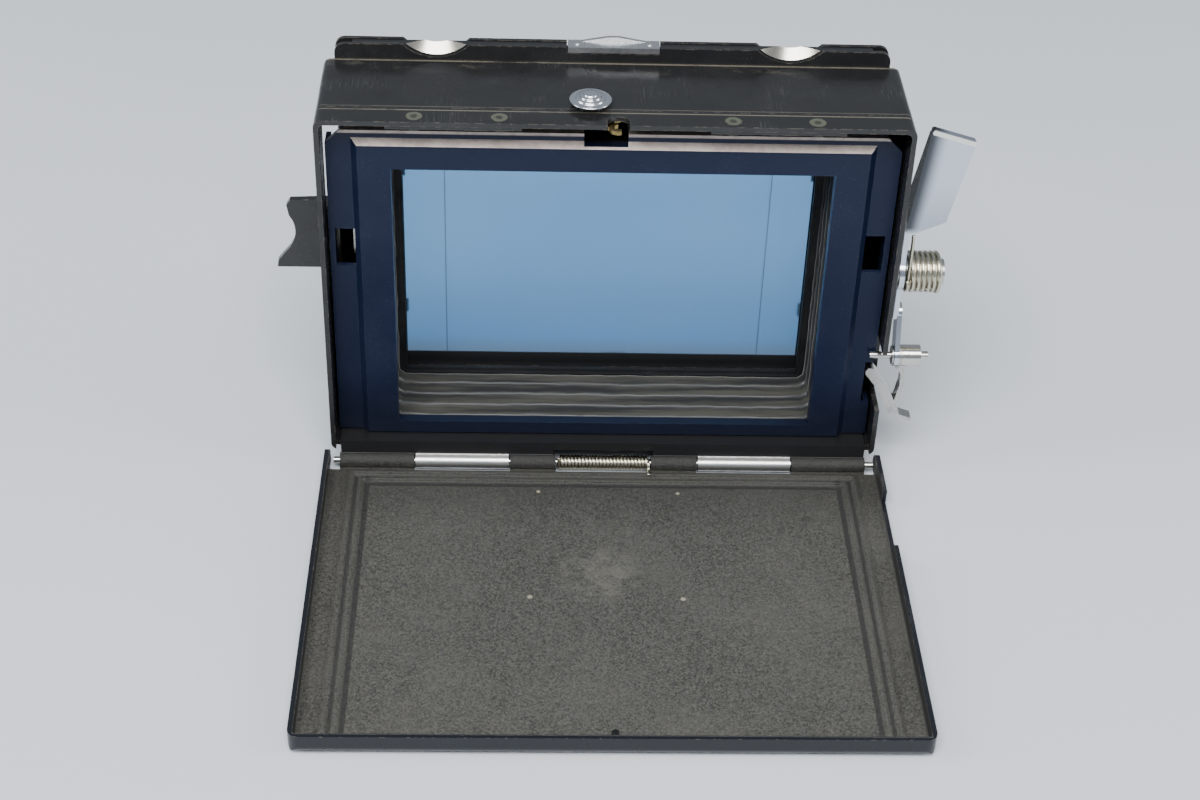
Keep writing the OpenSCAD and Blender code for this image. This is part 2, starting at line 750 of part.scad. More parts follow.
// Sheet cap over the frame's top edge, with a low gable along its front
module catch_plate() {
  z = [catch_z + 0.02, catch_z + 1.2];
  color("#cdd0d6") difference() {
    union() {
      block([-catch_half_w, catch_half_w], [front_y, 0], z);
      slab_y([-lip_t, 0]) polygon([[-6.4, z[0]], [6.4, z[0]], [6.4, z[1]], [1, z[1] + 1], [-1, z[1] + 1],
        [-6.4, z[1]]]);
    }
    for (x = [-7.2, 7.2]) rod_z(0.52, x, -1.7, [catch_z - 2, catch_z + 3]);
  }
}

module catch_rivets() {
  color("#b0b2b6") for (x = [-7.2, 7.2]) {
    rod_z(0.5, x, -1.7, [catch_z - 1.8, catch_z + 1.3]);
    translate([x, -1.7, catch_z + 1.22]) cylinder(r1 = 0.9, r2 = 0.6, h = 0.25);
  }
}

// ---- Pull tab in the left wall ----

module slide_bar() {
  color("#17181b")
    block([-inner_w + 0.1, -inner_w + 1], [slide_slot_y[0] - 1, slide_slot_y[1] - 0.5],
      [tab_z[0] - 1.8, tab_z[1] + 1.6]);
}

module slide_tab() {
  root_x = -inner_w + 0.08;
  reach = half_w + 10.6;
  color("#17181b") slab_y(tab_y) difference() {
    polygon([[root_x, tab_z[0] + 0.6], [-half_w - 2, tab_z[0]], [-reach, tab_z[0]],
      [-reach + 0.2, tab_z[0] + 1.5],
      [-reach + 3, tab_z[0] + 5], [-reach + 3, tab_z[1] - 4], [-reach + 2.6, tab_z[1] - 1.6],
      [-reach + 3.4, tab_z[1] - 0.4], [root_x, tab_z[1]]]);
    translate([-reach - 2.3, (tab_z[0] + tab_z[1]) / 2 + 0.6]) circle(6.4, $fn = 64);
  }
}

module slide_guides() {
  low = [slide_slot_y[0] - 2, slide_slot_y[0] - 1.1];
  high = [slide_slot_y[1] - 0.4, slide_slot_y[1] + 0.5];
  z = [37, corner_gap_z[0]];
  color("#8a8a86") {
    block([-inner_w, -inner_w + 2], low, z);
    block([-inner_w + 1.1, -inner_w + 2], [low[0], low[1] + 0.9], z);
    block([-inner_w, -inner_w + 2], high, z);
    block([-inner_w + 1.1, -inner_w + 2], [high[0] - 0.9, high[1]], z);
  }
}

outer_shell();
rear_rim();
weld_rivets();
front_plate();
guide_clips();
front_channel();
channel_cover();
channel_screws();
bellows();
bellows_front_ring();
hinge_leaves();
leaf_rivets();
hinge_pin();
button_bush();
latch_pivot();
button_spring();
spring_post_rivet();
lever_post();
lever_spring();
spring_bush();
slide_guides();
film_frame();
bellows_rear_ring();
door_panel();
door_striker();
hinge_spring();
button_cap();
button_stem();
latch_hook();
side_lever();
drive_stud();
stud_washer();
draw_hook();
glass_frame();
ground_glass();
glass_clips();
catch_plate();
catch_rivets();
slide_tab();
slide_bar();
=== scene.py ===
"""Sheet film back: detailed pieces, materials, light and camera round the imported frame. Units are metres."""

import math

import bpy
from mathutils import Matrix, Vector, noise


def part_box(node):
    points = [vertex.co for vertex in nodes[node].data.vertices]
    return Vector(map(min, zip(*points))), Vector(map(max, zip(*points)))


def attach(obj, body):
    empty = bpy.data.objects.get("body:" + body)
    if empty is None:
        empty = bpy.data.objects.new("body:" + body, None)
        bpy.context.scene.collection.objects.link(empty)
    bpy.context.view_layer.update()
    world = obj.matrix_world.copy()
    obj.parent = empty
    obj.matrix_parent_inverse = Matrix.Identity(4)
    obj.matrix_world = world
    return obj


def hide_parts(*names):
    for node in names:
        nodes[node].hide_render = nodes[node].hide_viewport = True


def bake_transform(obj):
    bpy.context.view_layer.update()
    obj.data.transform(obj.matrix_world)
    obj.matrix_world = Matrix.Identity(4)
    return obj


MM = 0.001
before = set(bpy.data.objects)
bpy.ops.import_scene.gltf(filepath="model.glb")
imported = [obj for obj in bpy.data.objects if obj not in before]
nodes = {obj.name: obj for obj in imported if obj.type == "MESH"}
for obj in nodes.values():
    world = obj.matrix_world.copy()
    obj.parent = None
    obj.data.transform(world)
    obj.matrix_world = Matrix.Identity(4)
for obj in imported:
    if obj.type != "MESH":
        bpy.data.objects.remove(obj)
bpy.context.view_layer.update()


def node_box(name):
    """A CAD node's lowest and highest corners, in millimetres."""
    low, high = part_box(name)
    return [x / MM for x in low], [x / MM for x in high]


SHELL_LOW, SHELL_HIGH = node_box("outer_shell")
SEAM_Y = SHELL_LOW[1]
SHELL_TOP = SHELL_HIGH[2]
HALF_W = SHELL_HIGH[0]
PIN_LOW, PIN_HIGH = node_box("hinge_pin")
HINGE_Y = (PIN_LOW[1] + PIN_HIGH[1]) / 2
HINGE_Z = (PIN_LOW[2] + PIN_HIGH[2]) / 2
DOOR_LOW = node_box("door_panel")[0]


# ---- Camera ----

def add_camera():
    """The photograph's view: a 62 mm lens looking down on the open back."""
    pitch, yaw, roll = 0.64334, 0.04494, 0.03846
    forward = Vector((math.sin(yaw) * math.cos(pitch), math.cos(yaw) * math.cos(pitch), -math.sin(pitch)))
    level = Vector((math.cos(yaw), -math.sin(yaw), 0))
    over = level.cross(forward)
    right = math.cos(roll) * level + math.sin(roll) * over
    up = -math.sin(roll) * level + math.cos(roll) * over
    data = bpy.data.cameras.new("camera")
    data.sensor_width = 36
    data.lens = 62.345
    data.clip_start, data.clip_end = 0.01, 20
    camera = bpy.data.objects.new("camera", data)
    bpy.context.collection.objects.link(camera)
    turn = Matrix((right, up, -forward)).transposed().to_4x4()
    camera.matrix_world = Matrix.Translation(Vector((-16.767, -374.178, 278.524)) * MM) @ turn
    bpy.context.scene.camera = camera


# ---- Material building ----

class Shader:
    """A node material. Positions are in millimetres in the object's own frame."""

    def __init__(self, name, **sockets):
        self.material = bpy.data.materials.new(name)
        self.material.use_nodes = True
        self.tree = self.material.node_tree
        self.tree.nodes.clear()
        self.out = self.new("ShaderNodeOutputMaterial")
        self.bsdf = self.new("ShaderNodeBsdfPrincipled")
        self.link(self.bsdf.outputs["BSDF"], self.out.inputs["Surface"])
        self.set(**sockets)
        coord = self.new("ShaderNodeTexCoord")
        scale = self.new("ShaderNodeVectorMath", operation="SCALE")
        scale.inputs["Scale"].default_value = 1 / MM
        self.link(coord.outputs["Object"], scale.inputs[0])
        self.p = scale.outputs[0]
        split = self.new("ShaderNodeSeparateXYZ")
        self.link(self.p, split.inputs[0])
        self.x, self.y, self.z = split.outputs
        facing = self.new("ShaderNodeSeparateXYZ")
        self.link(coord.outputs["Normal"], facing.inputs[0])
        self.ny, self.nz = facing.outputs[1:3]

    def new(self, kind, **settings):
        node = self.tree.nodes.new(kind)
        for key, value in settings.items():
            setattr(node, key, value)
        return node

    def link(self, a, b):
        self.tree.links.new(a, b)

    def feed(self, socket, value):
        if isinstance(value, bpy.types.NodeSocket):
            self.link(value, socket)
        elif isinstance(value, (tuple, list)) and len(value) == 3 and socket.type == "RGBA":
            socket.default_value = (*value, 1)
        else:
            socket.default_value = value

    def set(self, **sockets):
        names = {"color": "Base Color", "rough": "Roughness", "metal": "Metallic", "ior": "IOR",
                 "normal": "Normal", "sheen": "Sheen Weight", "sheen_rough": "Sheen Roughness",
                 "spec": "Specular IOR Level", "transmission": "Transmission Weight"}
        for key, value in sockets.items():
            self.feed(self.bsdf.inputs[names[key]], value)
        return self

    def math(self, op, a, b=0.0, c=0.0, clamp=False):
        node = self.new("ShaderNodeMath", operation=op, use_clamp=clamp)
        for i, value in enumerate((a, b, c)):
            self.feed(node.inputs[i], value)
        return node.outputs[0]

    def add(self, a, b):
        return self.math("ADD", a, b)

    def mul(self, a, b):
        return self.math("MULTIPLY", a, b)

    def most(self, a, b):
        return self.math("MAXIMUM", a, b)

    def step(self, value, low, high, a=0.0, b=1.0):
        node = self.new("ShaderNodeMapRange", interpolation_type="SMOOTHSTEP")
        parts = {"Value": value, "From Min": low, "From Max": high, "To Min": a, "To Max": b}
        for key, part in parts.items():
            self.feed(node.inputs[key], part)
        return node.outputs[0]

    def mix(self, factor, a, b):
        node = self.new("ShaderNodeMix", data_type="RGBA")
        self.feed(node.inputs[0], factor)
        self.feed(node.inputs[6], a)
        self.feed(node.inputs[7], b)
        return node.outputs[2]

    def moved(self, scale=(1, 1, 1), offset=(0, 0, 0), turn=(0, 0, 0)):
        node = self.new("ShaderNodeMapping")
        self.link(self.p, node.inputs["Vector"])
        node.inputs["Scale"].default_value = scale
        node.inputs["Location"].default_value = offset
        node.inputs["Rotation"].default_value = turn
        return node.outputs[0]

    def noise(self, scale, detail=3.0, rough=0.5, vector=None):
        node = self.new("ShaderNodeTexNoise")
        self.link(vector or self.p, node.inputs["Vector"])
        node.inputs["Scale"].default_value = scale
        node.inputs["Detail"].default_value = detail
        node.inputs["Roughness"].default_value = rough
        return node.outputs[0]

    def bump(self, height, distance, strength):
        node = self.new("ShaderNodeBump")
        node.inputs["Strength"].default_value = strength
        node.inputs["Distance"].default_value = distance * MM
        self.link(height, node.inputs["Height"])
        return node.outputs[0]

    def edges(self, radius):
        """1 on edges that stand out or fall in within that radius, 0 on flat faces."""
        bevel = self.new("ShaderNodeBevel", samples=4)
        bevel.inputs["Radius"].default_value = radius * MM
        geometry = self.new("ShaderNodeNewGeometry")
        dot = self.new("ShaderNodeVectorMath", operation="DOT_PRODUCT")
        self.link(bevel.outputs[0], dot.inputs[0])
        self.link(geometry.outputs["Normal"], dot.inputs[1])
        return self.step(dot.outputs["Value"], 0.985, 0.86)

    def line(self, value, at, half_width, soft=0.05):
        """1 where the value is within half_width of a place."""
        away = self.math("ABSOLUTE", self.add(value, -at))
        return self.step(away, half_width + soft, half_width)

    def length(self, a, b):
        """How far from the origin the place (a, b) is."""
        return self.math("SQRT", self.add(self.mul(a, a), self.mul(b, b)))

    def spot(self, x, y, radius, soft):
        """1 inside a round spot seen from above."""
        away = self.length(self.add(self.x, -x), self.add(self.y, -y))
        return self.step(away, radius + soft, radius)

    def scratches(self, turn, amount, fine=3.2):
        """Thin, long, sparse marks in one direction."""
        grain = self.noise(1.0, 1.5, 0.4, self.moved((fine, 0.05, fine), (3, 5, 7), turn))
        patches = self.step(self.noise(0.09, 2), 0.5, 0.72)
        mark = self.step(self.math("ABSOLUTE", self.add(grain, -0.5)), 0.012, 0.003)
        return self.mul(self.mul(mark, patches), amount)


def lacquer(name, color=(0.0095, 0.0095, 0.0098), rough=0.2, wear=0.4, extra=None):
    """Old gloss lacquer on metal: smudged, dusty, finely scratched, worn through at its edges."""
    pale_edge = (0.34, 0.3, 0.23)
    s = Shader(name, spec=0.5)
    cloud = s.noise(0.07, 4, 0.6)
    dust = s.mul(s.step(s.noise(2.6, 2, 0.6), 0.66, 0.74), s.step(cloud, 0.42, 0.7))
    marks = s.most(s.scratches((0, 0, 0.5), 1.0), s.scratches((0.4, 0.2, 1.7), 0.8))
    edge = s.mul(s.edges(0.28), s.step(s.noise(0.55, 4, 0.65), 0.47, 0.6))
    edge = s.mul(edge, wear)
    if extra is not None:
        edge = s.math("MAXIMUM", edge, extra(s), clamp=True)
    base = s.mix(cloud, color, tuple(c * 1.9 for c in color))
    base = s.mix(s.mul(dust, 0.5), base, (0.09, 0.09, 0.085))
    base = s.mix(s.mul(marks, 0.35), base, (0.14, 0.14, 0.14))
    base = s.mix(edge, base, pale_edge)
    gloss = s.step(s.noise(0.16, 5, 0.65), 0.3, 0.75, rough * 0.7, rough * 1.9)
    gloss = s.add(gloss, s.mul(s.most(dust, edge), 0.3))
    s.set(color=base, rough=gloss, metal=s.mul(edge, 0.6))
    ripple = s.add(s.mul(s.noise(0.35, 2), 0.6), s.mul(s.noise(6.0, 2), 0.06))
    s.set(normal=s.bump(ripple, 0.02, 0.5))
    return s.material


def metal(name, color, rough=0.16, brush=(0, 0, 0), grime=0.25, fine=0.5, pits=True):
    """Bare or plated metal with fine brushing, dulled patches and dark specks."""
    s = Shader(name, metal=1.0)
    streak = s.noise(1.0, 3, 0.55, s.moved((9.0, 0.25, 9.0), (0, 0, 0), brush))
    cloud = s.noise(0.25, 5, 0.65)
    dull = s.step(cloud, 0.48, 0.75)
    base = s.mix(s.mul(dull, grime), color, tuple(c * 0.42 for c in color))
    if pits:
        speck = s.step(s.noise(5.5, 2, 0.5), 0.68, 0.74)
        base = s.mix(s.mul(speck, 0.55), base, (0.05, 0.045, 0.035))
    gloss = s.add(s.mul(streak, rough * 0.8), rough * 0.55)
    s.set(color=base, rough=s.add(gloss, s.mul(dull, 0.14)), normal=s.bump(streak, 0.006, fine))
    return s.material


def crinkle(name):
    """The door: grained crinkle paint inside, smooth lacquer outside, chipped and rubbed in places."""
    color, outside = (0.085, 0.082, 0.07), (0.0085, 0.0095, 0.0135)
    s = Shader(name, spec=0.4)
    grain = s.noise(2.5, 5, 0.75)
    coarse = s.noise(0.9, 3, 0.6)
    height = s.add(grain, s.mul(coarse, 0.5))
    cloud = s.noise(0.035, 4, 0.6)
    inside_x = s.step(s.math("ABSOLUTE", s.x), HALF_W + 0.75, HALF_W + 0.6)
    inside_y = s.step(s.y, DOOR_LOW[1] + 0.7, DOOR_LOW[1] + 0.85)
    inside = s.mul(s.mul(inside_x, inside_y), s.step(s.z, 0.35, 0.5))
    floor = s.mul(inside, s.step(s.z, 2.0, 1.8))
    # A lighter, broken-up patch near the middle of the floor.
    pale_patch = s.mul(s.spot(-1.4, SEAM_Y - 39.8, 4.0, 6.5), s.step(s.noise(0.28, 4, 0.6), 0.36, 0.62))
    away = s.math("ABSOLUTE", s.x)
    # Painted shade: dark lines beside the embossed ridges and along the hinge side stand in for the shade in
    # their grooves.
    groove_shade = s.most(s.line(away, 49.7, 0.35, 0.35), s.mul(s.line(away, 52.1, 0.25, 0.3), 0.8))
    along = s.mul(s.line(s.y, HINGE_Y - 6.9, 0.35, 0.35), s.step(away, 50.2, 49.8))
    groove_shade = s.mul(s.most(s.mul(groove_shade, s.step(s.y, HINGE_Y - 4.0, HINGE_Y - 5.0)), along), 0.75)
    chips = s.most(s.spot(-15.4, SEAM_Y - 46.5, 0.35, 0.3), s.spot(14.9, SEAM_Y - 46.8, 0.35, 0.3))
    chips = s.most(chips, s.spot(15.5, SEAM_Y - 14.0, 0.25, 0.3))
    chips = s.most(chips, s.spot(-13.8, SEAM_Y - 13.8, 0.25, 0.3))
    patchy = s.step(s.noise(0.9, 3, 0.6), 0.54, 0.64)
    edge_wear = s.mul(s.mul(s.edges(0.2), patchy), s.step(s.z, 2.4, 2.8))
    speckle = s.step(grain, 0.28, 0.72)
    base = s.mix(speckle, tuple(c * 0.1 for c in color), tuple(c * 1.45 for c in color))
    base = s.mix(s.mul(s.step(cloud, 0.4, 0.7), 0.35), base, (0.1, 0.096, 0.083))
    # Painted shade: the floor darkens towards the hinge, by the shell.
    base = s.mix(s.mul(s.step(s.y, HINGE_Y - 24.0, HINGE_Y - 5.0), 0.45), base, (0.018, 0.018, 0.016))
    base = s.mix(s.mul(pale_patch, 0.35), base, (0.19, 0.18, 0.15))
    base = s.mix(groove_shade, base, (0.016, 0.016, 0.0145))
    # Painted shade: the inner walls take a darker copy of the floor's crinkle.
    wall = s.mix(speckle, (0.012, 0.012, 0.011), (0.045, 0.044, 0.04))
    base = s.mix(floor, wall, base)
    base = s.mix(inside, outside, base)
    base = s.mix(s.mul(s.mul(chips, floor), 0.7), base, (0.42, 0.38, 0.28))
    base = s.mix(s.mul(edge_wear, 0.5), base, (0.3, 0.26, 0.18))
    smooth = s.step(s.noise(0.16, 5, 0.65), 0.3, 0.75, 0.13, 0.34)
    gloss = s.mix(inside, smooth, s.step(grain, 0.3, 0.7, 0.45, 0.62))
    s.set(color=base, rough=gloss, metal=0.0)
    s.set(normal=s.bump(s.mul(height, inside), 0.3, 0.8))
    return s.material


def satin(name):
    """Satin black paint on the film frame, its blue tint a painted reflection, rubbed along its raised edges
    and lit there by a painted glint, with a painted highlight on its bevel and top bend and painted shade
    towards its foot.
    """
    # Dark paint; its blue tint is a painted reflection of a blue surround.
    color = (0.0065, 0.0105, 0.029)
    s = Shader(name, spec=0.22)
    top = node_box("film_frame")[1][2]
    cloud = s.noise(0.09, 4, 0.6)
    patchy = s.step(s.noise(0.5, 4, 0.65), 0.34, 0.6)
    # Rubbed raised edges, partly real rub and partly a painted bluish glint.
    rubbed = s.mul(s.edges(0.26), s.step(s.noise(0.4, 4, 0.6), 0.44, 0.62))
    # Painted highlight: the sloped bevel and the top bend are painted pale, as if catching light from above.
    sloped = s.mul(s.step(s.nz, 0.3, 0.5), s.step(s.ny, -0.25, -0.45))
    rolled = s.mul(s.step(s.z, top - 0.75, top - 0.5), s.step(s.math("ABSOLUTE", s.x), 54.5, 53.6))
    pale_edge = s.mul(s.most(s.mul(sloped, 0.85), rolled), s.step(patchy, 0.0, 1.0, 0.82, 1.0))
    dust = s.mul(s.step(s.noise(3.1, 2, 0.6), 0.67, 0.74), 0.5)
    marks = s.mul(s.scratches((0.3, 0.9, 0.2), 1.0), 0.5)
    base = s.mix(cloud, color, tuple(c * 1.35 for c in color))
    base = s.mix(s.most(dust, marks), base, (0.09, 0.095, 0.12))
    base = s.mix(s.mul(rubbed, 0.35), base, (0.1, 0.13, 0.24))
    # Painted shade: the frame darkens towards its foot.
    base = s.mix(s.mul(s.step(s.z, 26.0, 8.0), 0.6), base, (0.006, 0.007, 0.012))
    base = s.mix(pale_edge, base, (0.44, 0.37, 0.33))
    s.set(color=base, metal=s.mul(pale_edge, 0.35), rough=s.step(cloud, 0.35, 0.7, 0.3, 0.42))
    s.set(normal=s.bump(s.add(s.mul(s.noise(7.0, 2), 0.35), s.noise(0.4, 2)), 0.012, 0.6))
    return s.material


def hinge_metal(name):
    """Worn nickel on the hinge barrel, black lacquer on the leaf that runs into the shell."""
    s = Shader(name)
    away = s.length(s.add(s.y, -HINGE_Y), s.add(s.z, -HINGE_Z))
    barrel = s.step(away, 1.95, 1.75)
    grime = s.step(s.noise(0.5, 5, 0.65), 0.42, 0.66)
    rings = s.noise(1.0, 2, 0.5, s.moved((7.0, 0.3, 0.3)))
    plate = s.mix(s.mul(grime, 0.25), (0.66, 0.65, 0.64), (0.35, 0.32, 0.3))
    base = s.mix(barrel, (0.012, 0.012, 0.013), plate)
    s.set(color=base, metal=barrel, rough=s.add(s.mul(grime, 0.08), 0.3))
    s.set(normal=s.bump(rings, 0.002, 0.3))
    return s.material


def thumb_chrome(name):
    """Chromed lever whose thumb tab carries a painted dark reflection that deepens smoothly into its bend,
    with a painted highlight on its lip.
    """
    s = Shader(name, metal=1.0)
    low, high = node_box("side_lever")
    bend = s.add(s.x, s.mul(s.add(high[2], s.mul(s.z, -1)), 0.11))
    tab = s.step(s.z, 58.0, 60.0)
    # Painted dark reflection: the tab darkens into its bend and over its lower part.
    shade = s.mul(s.step(bend, low[0] + 6.4, low[0] + 2.7), tab)
    lower = s.mul(s.mul(s.step(s.z, 72.0, 58.0), tab), 0.3)
    # Painted highlight along the lever's lip.
    lip_highlight = s.mul(s.step(s.y, SEAM_Y - 1.85, SEAM_Y - 2.0), s.step(s.z, 78.0, 78.5))
    streak = s.noise(0.8, 3, 0.5, s.moved((2.0, 2.0, 0.3)))
    base = s.mix(s.mul(streak, 0.3), (0.66, 0.7, 0.78), (0.52, 0.56, 0.64))
    base = s.mix(s.most(s.mul(shade, 0.93), lower), base, (0.03, 0.032, 0.036))
    base = s.mix(lip_highlight, base, (0.9, 0.86, 0.8))
    s.set(color=base, rough=s.add(s.mul(streak, 0.06), 0.16), normal=s.bump(streak, 0.01, 0.1))
    return s.material


def scooped(name):
    """Black glass frame whose two thumb scoops are polished metal."""
    s = Shader(name, spec=0.5)
    scoop = s.mul(s.step(s.ny, -0.35, -0.5), s.step(s.nz, 0.2, 0.35))
    cloud = s.noise(0.3, 4, 0.6)
    base = s.mix(s.mul(cloud, 0.5), (0.01, 0.0105, 0.012), (0.02, 0.02, 0.021))
    base = s.mix(scoop, base, s.mix(cloud, (0.62, 0.58, 0.5), (0.4, 0.37, 0.31)))
    s.set(color=base, metal=scoop, rough=s.step(scoop, 0.0, 1.0, 0.3, 0.24))
    s.set(normal=s.bump(s.noise(0.8, 3), 0.02, 0.4))
    return s.material


def weld_look(name):
    """Spot-weld marks: a pale ring round a darker middle."""
    s = Shader(name, spec=0.4)
    nearest = None
    for x in (-38.5, -22.3, 22.3, 38.5):
        away = s.length(s.add(s.x, -x), s.add(s.y, -(SEAM_Y - 3.3)))
        nearest = away if nearest is None else s.math("MINIMUM", nearest, away)
    wobble = s.add(nearest, s.mul(s.add(s.noise(1.1, 3), -0.5), 0.9))
    ring = s.line(wobble, 1.15, 0.28, 0.3)
    base = s.mix(s.noise(0.8, 3), (0.03, 0.033, 0.026), (0.06, 0.064, 0.05))
    base = s.mix(s.mul(ring, 0.7), base, (0.13, 0.14, 0.105))
    s.set(color=base, rough=0.5, metal=0.25, normal=s.bump(wobble, 0.08, 0.5))
    return s.material


def cloth(name):
    """Black woven bellows cloth, faded to brown along its folds, with painted light on its lower folds."""
    color = (0.0075, 0.008, 0.0085)
    s = Shader(name, sheen=0.35, sheen_rough=0.45, spec=0.3, rough=0.78)
    threads = []
    for along in ("X", "Y"):
        wave = s.new("ShaderNodeTexWave", wave_type="BANDS", bands_direction=along, wave_profile="SIN")
        s.link(s.p, wave.inputs["Vector"])
        wave.inputs["Scale"].default_value = 0.85
        wave.inputs["Distortion"].default_value = 0.8
        wave.inputs["Detail"].default_value = 1.0
        threads.append(wave.outputs["Fac"])
    weave = s.most(*threads)
    faded = s.mul(s.step(s.noise(0.14, 4, 0.6, s.moved((0.35, 2.2, 1.0))), 0.45, 0.68), 0.6)
    streaks = s.step(s.noise(0.2, 4, 0.65, s.moved((0.12, 2.4, 1.0))), 0.36, 0.64)
    # Painted light on the lower folds.
    lit_fold = s.mul(s.step(s.z, 13.5, 10.5), streaks)
    base = s.mix(faded, color, (0.022, 0.0205, 0.018))
    base = s.mix(s.mul(lit_fold, 0.8), base, (0.075, 0.071, 0.055))
    base = s.mix(s.mul(weave, 0.25), base, (0.026, 0.027, 0.028))
    s.set(color=base, normal=s.bump(s.add(weave, s.mul(s.noise(1.2, 3), 0.8)), 0.05, 0.7))
    return s.material


def glass(name):
    """Finely ground glass with two scribed lines, dust specks and a greyer lower edge."""
    s = Shader(name, transmission=0.82, ior=1.45, spec=0.5)
    bottom = node_box("ground_glass")[0][2]
    away = s.math("ABSOLUTE", s.x)
    scribed = s.line(away, 34.0, 0.07, 0.07)
    grains = s.step(s.noise(2.2, 2, 0.5), 0.735, 0.76)
    foot = s.step(s.z, bottom + 5.5, bottom + 0.6)
    base = s.mix(s.noise(0.03, 2), (0.26, 0.58, 1.0), (0.34, 0.65, 1.0))
    base = s.mix(s.mul(foot, 0.5), base, (0.4, 0.42, 0.45))
    base = s.mix(s.mul(scribed, 0.75), base, (0.1, 0.12, 0.15))
    base = s.mix(s.mul(grains, 0.6), base, (0.2, 0.22, 0.25))
    s.set(color=base, rough=0.42, normal=s.bump(s.noise(9.0, 2), 0.01, 0.4))
    return s.material


def shell_marks(s):
    """Wear on the top wall: lines along the seam and the front edge, a worn band by the channel."""
    on_top = s.step(s.z, SHELL_TOP - 0.3, SHELL_TOP - 0.1)
    broken = s.step(s.noise(0.22, 5, 0.7, s.moved((0.5, 1.6, 1))), 0.3, 0.52)
    seam = s.most(s.mul(s.line(s.y, SEAM_Y + 0.6, 0.05, 0.12), 0.4),
                  s.mul(s.line(s.y, SEAM_Y - 0.8, 0.1, 0.14), 0.75))
    front = s.mul(s.line(s.y, SEAM_Y + 19.2, 0.12, 0.3), 0.7)
    patches = s.step(s.noise(0.11, 5, 0.7, s.moved((0.6, 1.2, 1), (9, 2, 4))), 0.53, 0.72)
    band = s.mul(s.mul(s.step(s.y, SEAM_Y + 13.5, SEAM_Y + 18.5), patches), 0.3)
    return s.mul(s.most(s.mul(s.most(seam, front), broken), band), s.mul(on_top, 0.8))


def assign(node, material):
    mesh = nodes[node].data
    mesh.materials.clear()
    mesh.materials.append(material)


# ---- Mesh building ----

def piece(name, points, faces, material, smooth=True):
    """A mesh object from points in millimetres."""
    mesh = bpy.data.meshes.new(name)
    mesh.from_pydata([tuple(c * MM for c in p) for p in points], [], faces)
    mesh.validate()
    mesh.materials.append(material)
    mesh.polygons.foreach_set("use_smooth", [smooth] * len(mesh.polygons))
    obj = bpy.data.objects.new(name, mesh)
    bpy.context.collection.objects.link(obj)
    return obj


def tube_mesh(path, radius, sides):
    """Points and faces of a round wire along a path, narrower at its two ends."""
    path = [Vector(p) for p in path]
    count = len(path)
    tangents = [(path[min(i + 1, count - 1)] - path[max(i - 1, 0)]).normalized() for i in range(count)]
    across = tangents[0].orthogonal().normalized()
    points, faces = [], []
    for i, (p, t) in enumerate(zip(path, tangents)):
        across = (across - t * across.dot(t)).normalized()
        other = t.cross(across)
        scale = radius * (0.72 if i in (0, count - 1) else 1.0)
        for k in range(sides):
            a = 2 * math.pi * k / sides
            points.append(p + scale * (math.cos(a) * across + math.sin(a) * other))
        if i:
            b = i * sides
            faces += [(b - sides + k, b - sides + (k + 1) % sides, b + (k + 1) % sides, b + k)
                      for k in range(sides)]
    faces.append(tuple(range(sides))[::-1])
    faces.append(tuple(range((count - 1) * sides, count * sides)))
    return points, faces


def helix(x0, x1, y, z, radius, turns, steps=24):
    """A coil's path along X. It starts at the side with the lower y."""
    start = math.pi
    total = int(turns * steps)
    path = []
    for i in range(total + 1):
        a = start + 2 * math.pi * turns * i / total
        path.append((x0 + (x1 - x0) * i / total, y + radius * math.cos(a), z + radius * math.sin(a)))
    return path


def smooth_path(points, steps=6):
    """A Catmull-Rom curve through the points."""
    pts = [Vector(p) for p in points]
    pts = [pts[0]] + pts + [pts[-1]]
    path = []
    for i in range(1, len(pts) - 2):
        a, b, c, d = pts[i - 1:i + 3]
        for k in range(steps):
            t = k / steps
            path.append(0.5 * (2 * b + (c - a) * t + (2 * a - 5 * b + 4 * c - d) * t * t
                               + (3 * b - a - 3 * c + d) * t * t * t))
    path.append(pts[-2])
    return path


def lathe(profile, centre, sides=96):
    """A turned shape about the vertical through centre. The profile is (radius, height) pairs."""
    points, faces = [], []
    for r, h in profile:
        for k in range(sides):
            a = 2 * math.pi * k / sides
            points.append((centre[0] + r * math.cos(a), centre[1] + r * math.sin(a), centre[2] + h))
    for i in range(len(profile) - 1):
        b = i * sides
        faces += [(b + k, b + (k + 1) % sides, b + sides + (k + 1) % sides, b + sides + k)
                  for k in range(sides)]
    faces.append(tuple(range(sides))[::-1])
    faces.append(tuple(range((len(profile) - 1) * sides, len(profile) * sides)))
    return points, faces


